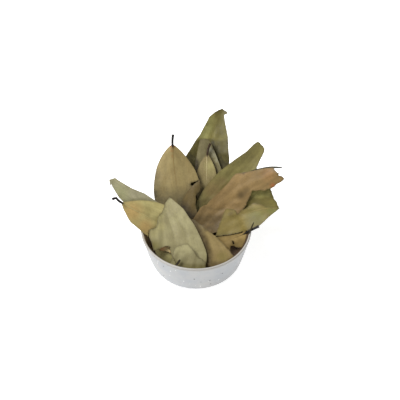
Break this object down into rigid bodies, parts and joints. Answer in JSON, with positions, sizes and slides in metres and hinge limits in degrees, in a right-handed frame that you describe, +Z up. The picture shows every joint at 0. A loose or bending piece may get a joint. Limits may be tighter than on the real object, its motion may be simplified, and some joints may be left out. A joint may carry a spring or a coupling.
{
  "type": "bowl of dried bay leaves",
  "caption": "Small round speckled ceramic bowl holding loose dried Indian bay leaves that stand up and fan out over its rim.",
  "frame": {"origin": "centre of the bowl's flat underside", "axes": "+Z up along the bowl's axis; the leaves lean back towards +Y; +X is to the right seen from the front"},
  "size_m": [0.1768, 0.1729, 0.0988],
  "materials": {
    "bowl_glaze": "satin off-white glaze with fine dark specks outside, dark brown glaze inside",
    "leaf_rear_skin": "matt, dry, olive",
    "leaf_broken_skin": "matt, dry, grey olive",
    "leaf_small_skin": "matt, dry, light olive tan",
    "leaf_large_skin": "satin, dry, tan olive",
    "leaf_inner_skin": "matt, dry, brown olive",
    "leaf_right_high_skin": "matt, dry, olive green",
    "leaf_edge_skin": "matt, dry, dark green",
    "leaf_right_green_skin": "matt, dry, dark olive green",
    "leaf_right_brown_skin": "matt, dry, brown",
    "leaf_left_pale_skin": "matt, dry, pale grey green",
    "leaf_left_yellow_skin": "satin, dry, yellow tan",
    "leaf_right_inner_skin": "satin, dry, tan",
    "leaf_right_low_skin": "satin, dry, olive",
    "leaf_front_right_skin": "satin, dry, tan",
    "leaf_front_skin": "satin, dry, pale grey green",
    "leaf_low_left_skin": "matt, dry, dark olive",
    "leaf_scrap_skin": "matt, dry, red brown",
    "leaf_chip_skin": "matt, dry, pale olive",
    "stalk_right_skin": "matt, woody, olive brown",
    "stalk_front_skin": "matt, woody, dark brown"
  },
  "bodies": {
    "root": {"bowl": "bowl_glaze", "leaf_rear": "leaf_rear_skin", "leaf_broken": "leaf_broken_skin", "leaf_small": "leaf_small_skin", "leaf_large": "leaf_large_skin", "leaf_inner": "leaf_inner_skin", "leaf_right_high": "leaf_right_high_skin", "leaf_edge": "leaf_edge_skin", "leaf_right_green": "leaf_right_green_skin", "leaf_right_brown": "leaf_right_brown_skin", "leaf_left_pale": "leaf_left_pale_skin", "leaf_left_yellow": "leaf_left_yellow_skin", "leaf_right_inner": "leaf_right_inner_skin", "leaf_right_low": "leaf_right_low_skin", "leaf_front_right": "leaf_front_right_skin", "leaf_front": "leaf_front_skin", "leaf_low_left": "leaf_low_left_skin", "leaf_scrap": "leaf_scrap_skin", "leaf_chip": "leaf_chip_skin", "stalk_right": "stalk_right_skin", "stalk_front": "stalk_front_skin"}
  },
  "joints": []
}
